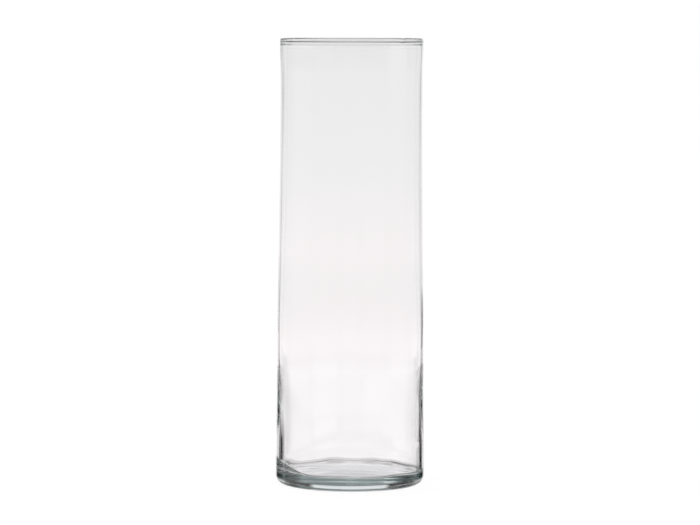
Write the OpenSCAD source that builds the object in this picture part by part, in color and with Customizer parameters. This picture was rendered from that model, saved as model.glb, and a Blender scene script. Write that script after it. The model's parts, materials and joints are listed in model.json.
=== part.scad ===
// Glass cylinder vase.
// A tall, clear, straight-sided florist's vase with a thick base, standing on its own.
// Millimetres. +Z is up, the origin is on the axis at the surface that the vase stands on.
// The real vase is one piece of glass. Its three zones, which a glassmaker works separately, are the
// nodes here: the thick base, the blown side wall and the fire-polished rim. They meet face to face.

/* [Vase] */
// Height from the resting surface to the top of the rim
height = 300; // [200:5:450]
// Outside diameter at the foot
foot_d = 100; // [90:1:150]

/* [Side wall] */
// Thickness of the wall at the waist and up to the rim
wall_t = 2.1; // [1.6:0.1:4]
// Thickness of the wall where it grows out of the base
root_t = 3.8; // [3:0.1:6]
// Thickness of the wall at its thinnest place, low in the blown part
thin_t = 1.4; // [1.2:0.1:3]
// Height of that thinnest place
thin_h = 80; // [70:2:120]
// How much the outside radius draws in between the foot and the waist
draw_in = 2.4; // [1:0.1:3]
// How much of that it draws in just above the foot, where the wall is a little swollen
swell_in = 0.7; // [0.3:0.1:1]
// Height at which that swelling has died away
swell_h = 64; // [40:2:68]
// Height of the waist, as a share of the whole height
waist_share = 0.86; // [0.75:0.01:0.9]

/* [Rim] */
// Thickness of the fire-polished bead, which is also the diameter of its round top
bead_t = 2.6; // [2.4:0.1:5]
// Height of the zone that the flame has softened, down from the top
rim_h = 7; // [6:0.5:12]

/* [Base] */
// Thickness of the glass under the inside floor
floor_t = 9; // [7:0.5:16]
// Radius of the corner between the inside floor and the wall
corner_r = 3; // [2:0.5:8]
// Height of the straight stretch of wall above that corner that belongs to the base
collar_h = 2; // [1:0.5:5]
// Radius of the heel, the round outside edge that leads down to the bearing ring
heel_r = 6; // [2:0.5:7]
// Height of the shallow dome pushed up into the underside
push_up = 0.8; // [0.5:0.1:3]
// Width of the flat bearing ring that the vase stands on
bearing_w = 5; // [3:0.5:8]

/* [Hidden] */
$fn = 180;
// The dome's circle is very large, so it takes many more steps to look smooth
DOME_FN = 1440;
// How far a cutting shape runs past the face that it cuts
PAST = 1;

foot_r = foot_d / 2;
waist_r = foot_r - draw_in;
// The mouth is a true cylinder from the waist up, and the inside widens below it
bore_r = waist_r - wall_t;
root_r = foot_r - root_t;
corner_top = floor_t + corner_r;
base_top = corner_top + collar_h;
rim_z = height - rim_h;
waist_z = height * waist_share;
bead_r = bead_t / 2;
bead_z = height - bead_r;
dome_r = foot_r - heel_r - bearing_w;
dome_ball_r = (dome_r * dome_r + push_up * push_up) / (2 * push_up);

// Outside radius of the side wall at height z
function outside_r(z) = lookup(z, [
    [base_top, foot_r],
    [swell_h, foot_r - swell_in],
    [waist_z, waist_r]
]);

// Solid half profile of the base, with the round heel at its outside bottom corner
module base_outside() {
    square([foot_r - heel_r, base_top]);
    translate([0, heel_r]) square([foot_r, base_top - heel_r]);
    translate([foot_r - heel_r, heel_r]) circle(r = heel_r);
}

// Half profile of the hollow above the floor, with its rounded corner
module base_hollow() {
    translate([0, floor_t]) square([root_r - corner_r, corner_r + PAST]);
    translate([0, corner_top]) square([root_r, collar_h + PAST]);
    translate([root_r - corner_r, corner_top]) circle(r = corner_r);
}

// The thick bottom: heel, bearing ring, pushed-up underside, floor and the wall's root
module base() {
    color([0.62, 0.78, 0.77, 0.6])
        rotate_extrude()
            difference() {
                base_outside();
                base_hollow();
                translate([0, push_up - dome_ball_r]) circle(r = dome_ball_r, $fn = DOME_FN);
            }
}

// The blown cylinder: thick at its root, blown thinnest a little above it, and drawn in to the waist
module side_wall() {
    color([0.93, 0.93, 0.94, 0.35])
        rotate_extrude()
            polygon([
                [root_r, base_top],
                [foot_r, base_top],
                [outside_r(swell_h), swell_h],
                [waist_r, waist_z],
                [waist_r, rim_z],
                [bore_r, rim_z],
                [bore_r, waist_z],
                [outside_r(thin_h) - thin_t, thin_h]
            ]);
}

// The fire-polished lip: it widens out of the wall into a bead with a round top
module rim() {
    color([0.85, 0.86, 0.88, 0.5])
        rotate_extrude()
            union() {
                polygon([
                    [bore_r, rim_z],
                    [waist_r, rim_z],
                    [bore_r + bead_t, bead_z - bead_r],
                    [bore_r + bead_t, bead_z],
                    [bore_r, bead_z]
                ]);
                translate([bore_r + bead_r, bead_z]) circle(r = bead_r);
            }
}

base();
side_wall();
rim();
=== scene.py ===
"""The looks of a clear glass cylinder vase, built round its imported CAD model.

Metres, +Z up, the origin on the vase's axis at the surface that it stands on.
The vase is one blown body of glass, so its whole skin is worked out first as one grid: rows run
along the half profile, from the middle of the underside, round the heel, up the outside, over the
rim, down the inside and in to the middle of the floor; columns run round the axis. The three
pieces, base, side wall and rim, are closed slices of that one grid, so their surfaces and normals
flow on into each other. The faces where two pieces meet are clear, and light goes straight through.
"""

import json
import math

import bmesh
import bpy
import numpy as np
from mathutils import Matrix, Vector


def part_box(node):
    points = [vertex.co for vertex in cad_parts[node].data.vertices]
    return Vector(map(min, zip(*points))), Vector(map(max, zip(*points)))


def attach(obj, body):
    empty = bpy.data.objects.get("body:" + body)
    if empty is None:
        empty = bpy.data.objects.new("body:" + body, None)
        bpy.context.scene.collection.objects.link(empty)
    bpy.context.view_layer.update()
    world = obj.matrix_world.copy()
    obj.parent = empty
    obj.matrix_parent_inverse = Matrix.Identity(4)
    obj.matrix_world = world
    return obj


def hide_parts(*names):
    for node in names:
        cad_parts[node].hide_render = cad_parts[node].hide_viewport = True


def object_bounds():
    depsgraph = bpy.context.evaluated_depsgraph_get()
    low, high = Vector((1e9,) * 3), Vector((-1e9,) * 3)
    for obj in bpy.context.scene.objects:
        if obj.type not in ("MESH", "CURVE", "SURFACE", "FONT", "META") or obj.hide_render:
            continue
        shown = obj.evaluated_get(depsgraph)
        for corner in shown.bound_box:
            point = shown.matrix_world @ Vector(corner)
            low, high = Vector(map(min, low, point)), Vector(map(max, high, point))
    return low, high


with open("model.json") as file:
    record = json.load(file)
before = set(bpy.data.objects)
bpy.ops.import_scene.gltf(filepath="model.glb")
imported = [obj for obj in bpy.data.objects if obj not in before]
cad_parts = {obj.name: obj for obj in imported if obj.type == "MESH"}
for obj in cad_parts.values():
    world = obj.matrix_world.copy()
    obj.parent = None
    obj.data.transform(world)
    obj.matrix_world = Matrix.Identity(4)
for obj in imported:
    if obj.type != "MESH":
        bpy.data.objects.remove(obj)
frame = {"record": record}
CAD_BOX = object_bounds()

MM = 0.001

# The material slot of each node
SLOTS = {"base": "base_glass", "side_wall": "wall_glass", "rim": "rim_glass"}

# ---- Sizes, from the frame -------------------------------------------------------------------

HEIGHT = CAD_BOX[1].z
FOOT_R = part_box("base")[1].x
BASE_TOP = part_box("base")[1].z
RIM_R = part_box("rim")[1].x
RIM_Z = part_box("rim")[0].z
BORE_R = next(m for m in frame["record"]["mounts"] if m["name"] == "mouth")["dims"]["r_mm"] * MM

# ---- Sizes that the frame's boxes don't hold -------------------------------------------------

WAIST_R = FOOT_R - 2.4 * MM
SWELL_IN = 0.7 * MM  # how much of the drawing in is just above the foot
HEEL_R = 6 * MM
BEARING_W = 5 * MM
PUSH_UP = 0.8 * MM
FLOOR_T = 9 * MM
BEAD_R = (RIM_R - BORE_R) / 2
WALL_T = WAIST_R - BORE_R
THIN_T = 1.3 * MM  # the wall where it was blown thinnest, about 80 mm up
ROOT_T = 3.6 * MM  # the wall where it grows out of the base
CORNER_R = 2.2 * MM  # the corner between the floor and the wall, for most of the way round
WIDE_CORNER_R = 8 * MM  # and on the side that the hot glass ran to
WIDE_SIDE = 185  # which side that is, in degrees from +X
WIDE_TURN = (16, 50)  # how far it turns from there before the corner starts and ends narrowing
FLOOR_RISE = 1.2 * MM  # how far the floor of the inside is crowned
BORE_ASIDE = 0.5 * MM  # how far the inside lies off the axis low down, towards +X
LIP_H = 4.7 * MM  # how far below the top the softened lip begins
BEAD_H = 2.8 * MM  # and the bead
BEAD_IN = 0.4 * MM  # how far the rim's bead stands in from the lip below it
LIP_IN = 0.1 * MM  # how far that softened lip stands in from the wall
RIM_SKEW = 0.1 * MM  # how far the cut rim is out of level, up towards +X
RIM_FLAW = (-44, 2.5, 0.25 * MM)  # where the rim's melt closed: direction, half width, depth
SEAM = 0.01 * MM  # half the gap between two pieces, far too thin to see

# From which height to which each change in the wall happens
SWELL_SPAN = (18 * MM, 64 * MM)  # the swelling above the foot dies away
WAIST_SPAN = (64 * MM, 264 * MM)  # the outside draws in to the waist
FLARE_SPAN = (276 * MM, 296 * MM)  # and comes out again to the rim's bead
ROOT_SPAN = (30 * MM, 80 * MM)  # the wall thins out of its root
THIN_SPAN = (90 * MM, 155 * MM)  # and thickens again to the even upper part
ASIDE_SPAN = (20 * MM, 80 * MM)  # the inside comes back onto the axis
SKEW_SPAN = (270 * MM, 290 * MM)  # the rim goes out of level
FLAW_SPAN = (RIM_Z + 1 * MM, RIM_Z + 5 * MM)  # and dips where its melt closed

# The slow waves of blown glass: (size, waves round, phase, twist up the height)
OUTSIDE_WAVES = [(0.05 * MM, 2, 0.4, 2.0), (0.03 * MM, 3, 2.1, -3.0)]
INSIDE_WAVES = [(0.10 * MM, 2, 1.1, 3.0), (0.05 * MM, 5, 0.3, 5.0)]
# The streaks in the floor: (size, how far apart, slant, phase)
FLOOR_STREAKS = [(0.015 * MM, 2.1 * MM, 0.12, 0.0), (0.03 * MM, 4.3 * MM, -0.2, 1.0)]

# Where the edge of the floor stands up in soft bumps: direction and half width in degrees, height
FLOOR_BUMPS = [
    (107, 12, 1.2 * MM),
    (71, 10, 1.1 * MM),
    (51, 9, 0.8 * MM),
    (8, 16, 0.4 * MM),
    (-48, 14, 0.5 * MM),
    (-95, 18, 0.6 * MM),
    (-140, 12, 0.4 * MM),
]

# How fine the skin is
AROUND = 360  # columns round the axis
WALL_ROW = 2.2 * MM  # how far apart the rows of the wall are
FOOT_ROW = 1.0 * MM  # those of the bearing ring and of the outside above the heel
DOME_ROW = 1.5 * MM
FLOOR_ROW = 1.2 * MM
FLOOR_R = 40 * MM  # the floor's radius, roughly, to count its rows by
RIM_OUT_ROW = 0.25 * MM
RIM_IN_ROW = 0.12 * MM
HEEL_ROWS, BEAD_ROWS, CORNER_ROWS = 24, 40, 30


# ---- The skin --------------------------------------------------------------------------------


def smooth(t):
    """0 below t = 0, 1 above t = 1, and an S-curve in between."""
    t = np.clip(t, 0.0, 1.0)
    return t * t * (3 - 2 * t)


def rise(z, span):
    """0 below a span of heights, 1 above it, and an S-curve through it."""
    low, high = span
    return smooth((z - low) / (high - low))


def outside_radius(z):
    """The outside of the wall: swollen above the foot, drawn in to the waist, out again to the rim."""
    swelling = SWELL_IN * rise(z, SWELL_SPAN)
    waist = (FOOT_R - WAIST_R - SWELL_IN) * rise(z, WAIST_SPAN)
    flare = (RIM_R - WAIST_R) * rise(z, FLARE_SPAN)
    return FOOT_R - swelling - waist + flare


def thickness(z):
    """The wall's thickness: even in the upper part, thinnest low down, and thick at its root."""
    thinned = WALL_T + (THIN_T - WALL_T) * (1 - rise(z, THIN_SPAN))
    return thinned + (ROOT_T - THIN_T) * (1 - rise(z, ROOT_SPAN))


def turn(a, b):
    """The angle between two directions, in degrees."""
    return abs((a - b + 180) % 360 - 180)


def corner_radius(around):
    """The radius of the corner between the floor and the wall, by direction in degrees."""
    narrow = rise(turn(around, WIDE_SIDE), WIDE_TURN)
    return CORNER_R + (WIDE_CORNER_R - CORNER_R) * (1 - narrow)


def inside_radius(z, around):
    """The inside of the wall, with the part of the corner that reaches up it."""
    corner = corner_radius(around)
    into_corner = np.clip(FLOOR_T + corner - z, 0, corner)
    return outside_radius(z) - thickness(z) - corner + np.sqrt(corner**2 - into_corner**2)


def rim_inside(z, around):
    """The inside of the rim, which stands in from the wall, a little in the lip and more in the bead."""
    lip = LIP_IN * rise(z, (HEIGHT - LIP_H, HEIGHT - LIP_H + 1 * MM))
    bead = BEAD_IN * rise(z, (HEIGHT - BEAD_H, HEIGHT - BEAD_H + 1 * MM))
    return np.maximum(inside_radius(z, around) - lip - bead, BORE_R)


def floor_lift(around):
    """How much the edge of the floor stands up, by direction in degrees."""
    return sum(high * np.exp(-((turn(around, middle) / half) ** 2)) for middle, half, high in FLOOR_BUMPS)


def ripples(around, z, parts):
    """A sum of slow waves round the axis and up it."""
    turned = np.radians(around)
    return sum(
        size * np.cos(waves * turned + phase + twist * z / HEIGHT) for size, waves, phase, twist in parts
    )


def streaks(x, y):
    """A sum of shallow waves across the floor, nearly parallel."""
    return sum(
        size * np.sin((y + slant * x) / apart + phase) for size, apart, slant, phase in FLOOR_STREAKS
    )


def rows_up(start, end, pitch):
    """Heights or radii from start to end at about that pitch, the end left out."""
    return np.linspace(start, end, max(1, round(abs(end - start) / pitch)), endpoint=False)


def arc(centre_r, centre_z, radius, start, end, count):
    """Points on a round corner, from the start to the end angle in degrees, the end left out."""
    angles = np.radians(np.linspace(start, end, count, endpoint=False))
    return [(centre_r + radius * math.cos(a), centre_z + radius * math.sin(a)) for a in angles]


def corner_rows(around, count):
    """The inside from the top of the base down and round the corner to the edge of the floor."""
    corner = corner_radius(around)
    depth = BASE_TOP - SEAM - FLOOR_T
    straight = np.maximum(depth - corner, 0)
    start = np.arcsin(np.clip(1 - depth / corner, 0, 1))
    length = straight + corner * (math.pi / 2 - start)
    for share in np.linspace(0, 1, count, endpoint=False):
        down = share * length
        angle = start + np.maximum(down - straight, 0) / corner
        z_round = FLOOR_T + corner * (1 - np.sin(angle))
        z = np.where(down < straight, BASE_TOP - SEAM - down, z_round)
        yield outside_radius(z) - thickness(z) - corner * (1 - np.cos(angle)), z


def skin():
    """Every point of the vase's skin, as rows by columns by (x, y, z), and the rows where the pieces
    begin and end. The rows follow the half profile, and the columns go round."""
    around = np.arange(AROUND) * 360 / AROUND
    rows, marks = [], {}

    def add(points, outside=1.0):
        """Rows of (radius, height), each a number or one number for each column. outside is 1 for rows
        on the outside of the glass, 0 for rows on the inside, and in between over the rim."""
        for r, z in points:
            rows.append(np.stack(np.broadcast_arrays(r, z, outside, around)[:3], axis=-1))

    def mark(name):
        marks[name] = len(rows) - 1

    def up_the_outside(start, end, pitch):
        add((outside_radius(z), z) for z in rows_up(start, end, pitch))

    dome_r = FOOT_R - HEEL_R - BEARING_W
    add((r, PUSH_UP * (1 - (r / dome_r) ** 2) ** 2) for r in rows_up(0.0, dome_r, DOME_ROW))
    add((r, 0.0) for r in rows_up(dome_r, FOOT_R - HEEL_R, FOOT_ROW))
    add(arc(FOOT_R - HEEL_R, HEEL_R, HEEL_R, -90, 0, HEEL_ROWS))
    up_the_outside(HEEL_R, BASE_TOP - SEAM, FOOT_ROW)
    add([(outside_radius(BASE_TOP), BASE_TOP - SEAM)])
    mark("base_out")
    add([(outside_radius(BASE_TOP), BASE_TOP + SEAM)])
    mark("wall_out_low")
    up_the_outside(BASE_TOP + WALL_ROW, RIM_Z - SEAM, WALL_ROW)
    add([(outside_radius(RIM_Z), RIM_Z - SEAM)])
    mark("wall_out_high")
    add([(outside_radius(RIM_Z), RIM_Z + SEAM)])
    mark("rim_out")

    bead_z = HEIGHT - BEAD_R
    up_the_outside(RIM_Z + 0.4 * MM, bead_z, RIM_OUT_ROW)
    crest = arc(BORE_R + BEAD_R, bead_z, BEAD_R, 0, 180, BEAD_ROWS)
    for i, point in enumerate(crest):
        add([point], 1 - smooth(i / len(crest)))

    add(((rim_inside(z, around), z) for z in rows_up(bead_z, RIM_Z + SEAM, RIM_IN_ROW)), 0.0)
    add([(rim_inside(RIM_Z, around), RIM_Z + SEAM)], 0.0)
    mark("rim_in")
    add([(rim_inside(RIM_Z, around), RIM_Z - SEAM)], 0.0)
    mark("wall_in_high")
    add(((inside_radius(z, around), z) for z in rows_up(RIM_Z - WALL_ROW, BASE_TOP + SEAM, WALL_ROW)), 0.0)
    add([(inside_radius(BASE_TOP + SEAM, around), BASE_TOP + SEAM)], 0.0)
    mark("wall_in_low")
    add(corner_rows(around, CORNER_ROWS), 0.0)
    marks["base_in"] = marks["wall_in_low"] + 1

    floor_r = outside_radius(FLOOR_T) - thickness(FLOOR_T) - corner_radius(around)
    for share in rows_up(1.0, 0.0, FLOOR_ROW / FLOOR_R):
        add([(floor_r * share, FLOOR_T + FLOOR_RISE * (1 - share**2) ** 2)], 0.0)
    add([(0.0, FLOOR_T + FLOOR_RISE)], 0.0)
    return blown(np.array(rows), around), marks


def blown(rows, around):
    """The even skin with the unevenness of blown glass, as (x, y, z) points."""
    radius, height, outside = rows[..., 0], rows[..., 1], rows[..., 2]
    above_floor = np.clip(height - FLOOR_T, 0, None)
    inside = 1 - outside
    out_waves = ripples(around, height, OUTSIDE_WAVES) * smooth(height / (20 * MM))
    in_waves = ripples(around, height, INSIDE_WAVES)
    away_from_axis = smooth(radius / (20 * MM))
    r = radius + away_from_axis * (outside * out_waves + inside * in_waves)
    x, y = r * np.cos(np.radians(around)), r * np.sin(np.radians(around))

    near_edge = rise(radius, (34 * MM, 43 * MM)) * np.exp(-above_floor / (12 * MM)) * inside
    on_floor = np.exp(-above_floor / (1.5 * MM)) * inside
    z = height + near_edge * floor_lift(around) + on_floor * streaks(x, y)
    z += RIM_SKEW * x / RIM_R * rise(height, SKEW_SPAN)
    flaw_side, flaw_half, flaw_depth = RIM_FLAW
    flaw = flaw_depth * np.exp(-((turn(around, flaw_side) / flaw_half) ** 2))
    z -= flaw * rise(height, FLAW_SPAN)
    aside = BORE_ASIDE * (1 - rise(height, ASIDE_SPAN)) * inside
    return np.stack([x + aside, y, z], axis=-1)


def skin_normals(grid):
    """A unit normal for every point of the grid, out of the glass."""
    along = np.gradient(grid, axis=0)
    round_axis = np.roll(grid, -1, axis=1) - np.roll(grid, 1, axis=1)
    normals = np.cross(round_axis, along)
    length = np.linalg.norm(normals, axis=-1, keepdims=True)
    normals = normals / np.maximum(length, 1e-12)
    normals[0], normals[-1] = (0, 0, -1), (0, 0, 1)
    return normals


# ---- Pieces ----------------------------------------------------------------------------------


def slice_piece(name, grid, normals, runs, material):
    """One closed piece from one or two runs of rows of the grid, (first, last) each, in profile order.
    The strips that join the runs are the faces where two pieces meet: they are clear and flat."""
    points = np.concatenate([grid[first : last + 1] for first, last in runs])
    point_normals = np.concatenate([normals[first : last + 1] for first, last in runs])
    count = len(points)
    pole_start = runs[0][0] == 0
    pole_end = runs[-1][1] == len(grid) - 1
    ends = np.cumsum([last + 1 - first for first, last in runs])
    meeting = {int(end) - 1 for end in ends[:-1]}
    strips = [(i, i + 1) for i in range(count - 1)]
    if not (pole_start or pole_end):
        strips.append((count - 1, 0))
        meeting.add(count - 1)
    faces, face_normals, clear = [], [], []
    for low, high in strips:
        is_meeting = low in meeting
        up = 1.0 if points[low, 0, 2] > points[:, 0, 2].mean() else -1.0
        for j in range(AROUND):
            k = (j + 1) % AROUND
            corners = [(low, j), (low, k), (high, k), (high, j)]
            if pole_start and low == 0:
                corners = [(low, 0), (high, k), (high, j)]
            elif pole_end and high == count - 1:
                corners = [(low, j), (low, k), (high, 0)]
            faces.append([i * AROUND + c for i, c in corners])
            clear.append(1.0 if is_meeting else 0.0)
            if is_meeting:
                face_normals.extend([(0.0, 0.0, up)] * len(corners))
            else:
                face_normals.extend(tuple(point_normals[i, c]) for i, c in corners)
    mesh = bpy.data.meshes.new(name)
    mesh.from_pydata(points.reshape(-1, 3).tolist(), [], faces)
    mesh.attributes.new("meeting", "FLOAT", "FACE").data.foreach_set("value", clear)
    mesh.materials.append(material)
    mesh.polygons.foreach_set("use_smooth", [True] * len(faces))
    mesh.normals_split_custom_set(face_normals)
    mesh.validate(clean_customdata=False)
    piece = bpy.data.objects.new(name, mesh)
    bpy.context.scene.collection.objects.link(piece)
    drop_loose(piece)
    return piece


def drop_loose(piece):
    """Deletes the points that no face uses, which a pole's ring leaves over."""
    bm = bmesh.new()
    bm.from_mesh(piece.data)
    loose = [v for v in bm.verts if not v.link_faces]
    if loose:
        bmesh.ops.delete(bm, geom=loose, context="VERTS")
        bm.to_mesh(piece.data)
    bm.free()


# ---- Materials -------------------------------------------------------------------------------


GLASS_INDEX = 1.52
TINT = (0.86, 0.925, 0.92, 1.0)  # what 1 / TINT_DENSITY metres of the glass let through, about
TINT_DENSITY = 10.0
WAVINESS = 0.25


class Nodes:
    """Short ways to add nodes to a material's or world's tree."""

    def __init__(self, tree):
        self.tree = tree
        tree.nodes.clear()

    def add(self, kind, inputs=None, **settings):
        node = self.tree.nodes.new(kind)
        for key, value in settings.items():
            setattr(node, key, value)
        for key, value in (inputs or {}).items():
            self.put(node.inputs[key], value)
        return node

    def put(self, socket, value):
        if isinstance(value, bpy.types.NodeSocket):
            self.tree.links.new(value, socket)
        else:
            socket.default_value = value

    def maths(self, operation, *values):
        return self.add("ShaderNodeMath", dict(enumerate(values)), operation=operation).outputs[0]

    def ramp(self, value, low, high, to_low=0.0, to_high=1.0):
        """value from low..high to to_low..to_high, smoothly and clamped."""
        inputs = {"Value": value, "From Min": low, "From Max": high, "To Min": to_low, "To Max": to_high}
        node = self.add("ShaderNodeMapRange", inputs, interpolation_type="SMOOTHSTEP")
        return node.outputs["Result"]

    def mix(self, share, first, second):
        """The first colour where share is 0, and the second where it is 1."""
        node = self.add("ShaderNodeMix", {0: share, 6: first, 7: second}, data_type="RGBA")
        return node.outputs[2]


def glass(name):
    """Clear soda-lime glass. Long ways through it turn faintly teal, and its faces have a slow waviness."""
    material = bpy.data.materials.new(name)
    material.use_nodes = True
    n = Nodes(material.node_tree)
    place = n.add("ShaderNodeTexCoord").outputs["Object"]
    stretched = n.add("ShaderNodeMapping", {"Vector": place, "Scale": (1.0, 1.0, 0.35)}).outputs[0]
    noise = {"Vector": stretched, "Scale": 45.0, "Detail": 2.0, "Roughness": 0.4}
    waves = n.add("ShaderNodeTexNoise", noise).outputs[0]
    bump = n.add("ShaderNodeBump", {"Height": waves, "Strength": WAVINESS, "Distance": 0.4 * MM})
    meeting = n.add("ShaderNodeAttribute", attribute_name="meeting").outputs["Fac"]
    shader = n.add(
        "ShaderNodeBsdfPrincipled",
        {
            "Base Color": (1.0, 1.0, 1.0, 1.0),
            "Roughness": 0.0,
            "IOR": GLASS_INDEX,
            "Transmission Weight": 1.0,
            "Normal": bump.outputs[0],
            "Alpha": n.maths("SUBTRACT", 1.0, meeting),
        },
    )
    tint = n.add("ShaderNodeVolumeAbsorption", {"Color": TINT, "Density": TINT_DENSITY})
    out = n.add("ShaderNodeOutputMaterial")
    n.put(out.inputs["Surface"], shader.outputs[0])
    n.put(out.inputs["Volume"], tint.outputs[0])
    return material


# ---- Stage, light and camera -----------------------------------------------------------------


# The studio's brightness by level: (angle above the horizon in degrees, red, green, blue). White
# cards stand in it, with a lamp above each tall one. The dark strips beside them are what draws the
# edges of clear glass. Elsewhere it is white just below the horizon, dark above it, and dim overhead.
CARD_LEVELS = [
    (-60, 0.5, 0.48, 0.49),
    (-35, 0.72, 0.7, 0.71),
    (-22, 0.76, 0.74, 0.75),
    (-16, 0.78, 0.76, 0.77),
    (-12, 0.98, 0.955, 0.965),
    (-9.5, 0.985, 0.96, 0.97),
    (-8, 0.995, 0.97, 0.98),
    (-6.5, 0.95, 0.92, 0.93),
    (-5, 0.955, 0.91, 0.92),
    (-4, 0.935, 0.89, 0.9),
    (-3, 0.89, 0.873, 0.876),
    (-1.5, 0.855, 0.855, 0.855),
    (0.5, 0.85, 0.85, 0.85),
    (4, 0.77, 0.75, 0.76),
    (8.5, 0.83, 0.81, 0.84),
    (14, 0.42, 0.41, 0.42),
    (22, 0.03, 0.03, 0.03),
    (35, 0.1, 0.1, 0.1),
    (50, 0.82, 0.82, 0.82),
]
STRIP_LEVELS = [
    (-40, 0.2, 0.2, 0.2),
    (-25, 0.6, 0.59, 0.59),
    (-17, 0.8, 0.78, 0.79),
    (-12.5, 0.15, 0.14, 0.14),
    (-8, 0.02, 0.02, 0.02),
    (-5, 0.03, 0.03, 0.03),
    (-3.5, 0.56, 0.55, 0.55),
    (-1, 0.52, 0.52, 0.52),
    (1.5, 0.05, 0.04, 0.04),
    (35, 0.02, 0.02, 0.02),
    (50, 0.5, 0.5, 0.5),
]
SIDE_LEVELS = [
    (-60, 0.2, 0.2, 0.2),
    (-30, 0.15, 0.15, 0.15),
    (-20, 0.45, 0.43, 0.44),
    (-11, 0.5, 0.48, 0.49),
    (-8, 0.5, 0.48, 0.49),
    (-6.5, 1.02, 1.0, 1.01),
    (-4.5, 1.0, 0.98, 0.99),
    (-3, 0.84, 0.83, 0.83),
    (-0.5, 0.76, 0.75, 0.75),
    (1.5, 0.55, 0.54, 0.54),
    (5, 0.04, 0.03, 0.03),
    (35, 0.02, 0.02, 0.02),
    (50, 0.37, 0.36, 0.37),
]
PLAIN_WHITE = 0.97
RAMP_SCALE = 2.0  # a ramp holds no more than 1, so its colours are this many times too dark

# The cards, in the order in which they stand, the last in front: which way each stands, by the angle
# from +X in degrees, half of its width, where its dark strips end near the horizon and away from it,
# how softly it ends, the levels that it fills, how dark its strips are, and whether it is a tall card
# or a plain white one
CARDS = [
    dict(turn=-45, half=22, near=28, away=28, soft=6, low=-22, high=-8, dark=0.6, tall=False),
    dict(turn=180, half=22, near=28, away=32, soft=8, low=-91, high=91, dark=0.25, tall=True),
    dict(turn=90, half=22, near=28, away=52, soft=2.5, low=-91, high=91, dark=1.0, tall=True),
    dict(turn=135, half=13, near=24, away=24, soft=4, low=-32, high=-19, dark=1.0, tall=False),
]
STRIP_MIDDLE = -2.2  # the level round which a card's strips are narrow
STRIP_WIDENS = (3.2, 4.2)  # how far from that level they start and end widening


def by_level(n, angle, levels):
    """A colour that depends on the level only."""
    ramp = n.add("ShaderNodeValToRGB", {"Fac": n.maths("MULTIPLY_ADD", angle, 1 / 180, 0.5)})
    stops = ramp.color_ramp.elements
    while len(stops) < len(levels):
        stops.new(0.5)
    for stop, (degrees, *colour) in zip(stops, levels):
        stop.position = degrees / 180 + 0.5
        stop.color = (*(c / RAMP_SCALE for c in colour), 1.0)
    return ramp.outputs[0]


def studio():
    """Plain white for the camera, and soft light for the glass."""
    world = bpy.data.worlds.new("studio")
    world.use_nodes = True
    bpy.context.scene.world = world
    n = Nodes(world.node_tree)
    way = n.add("ShaderNodeTexCoord").outputs["Generated"]
    up = n.add("ShaderNodeSeparateXYZ", {"Vector": way}).outputs["Z"]
    angle = n.maths("DEGREES", n.maths("ARCSINE", up))
    flat = n.add("ShaderNodeVectorMath", {0: way, 1: (1.0, 1.0, 0.0)}, operation="MULTIPLY")
    flat = n.add("ShaderNodeVectorMath", {0: flat.outputs[0]}, operation="NORMALIZE").outputs[0]
    tall = by_level(n, angle, CARD_LEVELS)
    strip = by_level(n, angle, STRIP_LEVELS)
    colour = by_level(n, angle, SIDE_LEVELS)
    from_middle = n.maths("ABSOLUTE", n.maths("SUBTRACT", angle, STRIP_MIDDLE))
    plain_white = (*[PLAIN_WHITE / RAMP_SCALE] * 3, 1.0)
    for card in CARDS:
        half, soft, low, high = card["half"], card["soft"], card["low"], card["high"]
        facing = (math.cos(math.radians(card["turn"])), math.sin(math.radians(card["turn"])), 0.0)
        dot = n.add("ShaderNodeVectorMath", {0: flat, 1: facing}, operation="DOT_PRODUCT")
        off = n.maths("DEGREES", n.maths("ARCCOSINE", dot.outputs["Value"]))
        above, below = n.ramp(angle, low - 1, low + 1), n.ramp(angle, high - 1, high + 1, 1.0, 0.0)
        here = n.maths("MULTIPLY", above, below)
        strip_end = n.ramp(from_middle, *STRIP_WIDENS, card["near"], card["away"])
        past_strip = n.maths("SUBTRACT", strip_end, off)
        in_strip = n.maths("MULTIPLY", n.ramp(past_strip, -soft, soft, 0.0, card["dark"]), here)
        in_card = n.maths("MULTIPLY", n.ramp(off, half - soft, half + soft, 1.0, 0.0), here)
        colour = n.mix(in_strip, colour, strip)
        colour = n.mix(in_card, colour, tall if card["tall"] else plain_white)
    studio_light = n.add("ShaderNodeBackground", {"Color": colour, "Strength": RAMP_SCALE})
    white = n.add("ShaderNodeBackground", {"Color": (1.0, 1.0, 1.0, 1.0), "Strength": 1.0})
    seen = n.add("ShaderNodeLightPath").outputs["Is Camera Ray"]
    mix = n.add("ShaderNodeMixShader", {0: seen, 1: studio_light.outputs[0], 2: white.outputs[0]})
    out = n.add("ShaderNodeOutputWorld")
    n.put(out.inputs["Surface"], mix.outputs[0])


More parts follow.
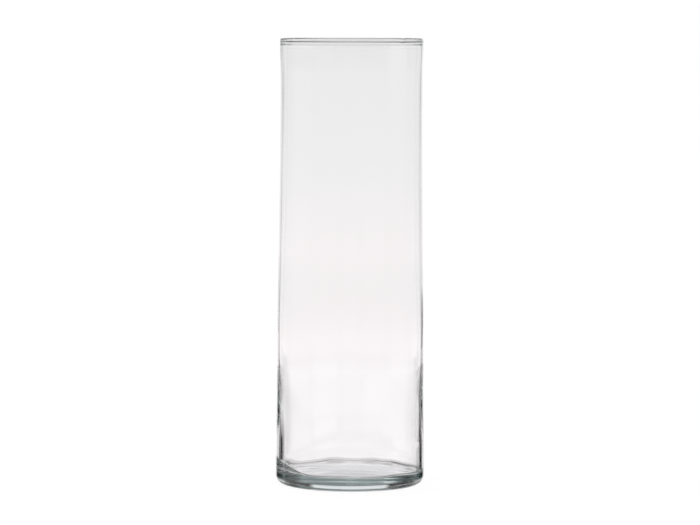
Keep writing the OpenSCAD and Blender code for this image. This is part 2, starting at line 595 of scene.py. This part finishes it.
def floor():
    """A large pale floor, round, so that it ends the same way on every side."""
    mesh = bpy.data.meshes.new("floor")
    count, radius = 128, 6.0
    angles = [2 * math.pi * i / count for i in range(count)]
    ring = [(radius * math.cos(a), radius * math.sin(a), 0.0) for a in angles]
    mesh.from_pydata(ring, [], [list(range(count))])
    material = bpy.data.materials.new("floor_white")
    material.use_nodes = True
    n = Nodes(material.node_tree)
    shader = n.add("ShaderNodeBsdfDiffuse", {"Color": (0.2, 0.2, 0.2, 1.0)})
    glow = n.add("ShaderNodeEmission", {"Color": (1, 1, 1, 1), "Strength": 0.95})
    both = n.add("ShaderNodeAddShader", {0: shader.outputs[0], 1: glow.outputs[0]})
    out = n.add("ShaderNodeOutputMaterial")
    n.put(out.inputs["Surface"], both.outputs[0])
    mesh.materials.append(material)
    obj = bpy.data.objects.new("floor", mesh)
    obj.location.z = -0.02 * MM  # just clear of the bearing ring
    bpy.context.scene.collection.objects.link(obj)
    obj.visible_transmission = False
    obj.visible_glossy = False


def camera():
    """A long lens a good two metres off, level with the rim and looking slightly down."""
    distance, height, aside, tilt, roll = 2.25, 0.3101, -0.00126, 4.087, -0.27
    data = bpy.data.cameras.new("camera")
    data.sensor_width = 36
    data.lens = 172.35
    data.clip_end = 50
    cam = bpy.data.objects.new("camera", data)
    cam.location = (aside, -distance, height)
    cam.rotation_euler = (math.radians(90 - tilt), math.radians(roll), 0)
    bpy.context.scene.collection.objects.link(cam)
    bpy.context.scene.camera = cam


# ---- The scene -------------------------------------------------------------------------------


BOUNCES = 96  # light goes to and fro many times in the thick base


def render_settings():
    scene = bpy.context.scene
    scene.view_settings.view_transform = "Standard"
    scene.cycles.max_bounces = BOUNCES
    scene.cycles.transmission_bounces = BOUNCES
    scene.cycles.glossy_bounces = BOUNCES
    scene.cycles.transparent_max_bounces = BOUNCES


def vase():
    grid, marks = skin()
    normals = skin_normals(grid)
    last = len(grid) - 1
    slices = {
        "base": [(0, marks["base_out"]), (marks["base_in"], last)],
        "side_wall": [
            (marks["wall_out_low"], marks["wall_out_high"]),
            (marks["wall_in_high"], marks["wall_in_low"]),
        ],
        "rim": [(marks["rim_out"], marks["rim_in"])],
    }
    for node, runs in slices.items():
        piece = slice_piece(node + "_glass", grid, normals, runs, glass(SLOTS[node]))
        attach(piece, "root")
        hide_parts(node)


render_settings()
studio()
floor()
camera()
vase()
